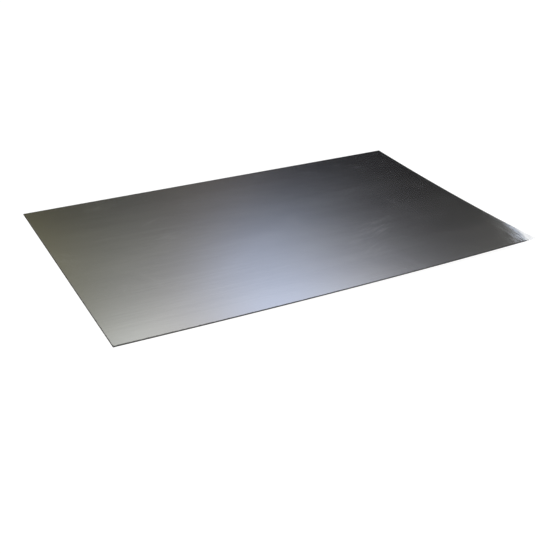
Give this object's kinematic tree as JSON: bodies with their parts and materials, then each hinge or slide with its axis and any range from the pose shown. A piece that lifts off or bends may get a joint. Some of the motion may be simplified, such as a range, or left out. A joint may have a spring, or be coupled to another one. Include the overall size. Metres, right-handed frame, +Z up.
{
  "type": "steel plate",
  "caption": "Thin rectangular plate of bare cold-rolled steel, sheared square, lying flat with a slight lift at the front-right corner.",
  "frame": {"origin": "middle of the sheet's rectangular outline, on the floor it rests on", "axes": "+X along the long side, towards the end with the lifted corner; +Y from the front long edge, which has the lifted corner, towards the back long edge; +Z up, square to the face it rests on"},
  "size_m": [0.9144, 0.6096, 0.019],
  "materials": {
    "bare_steel": "smooth satin cold-rolled mill finish, uncoated, lightly scuffed at the lifted corner, sheared edges"
  },
  "bodies": {
    "root": {"steel_plate": "bare_steel"}
  },
  "joints": []
}
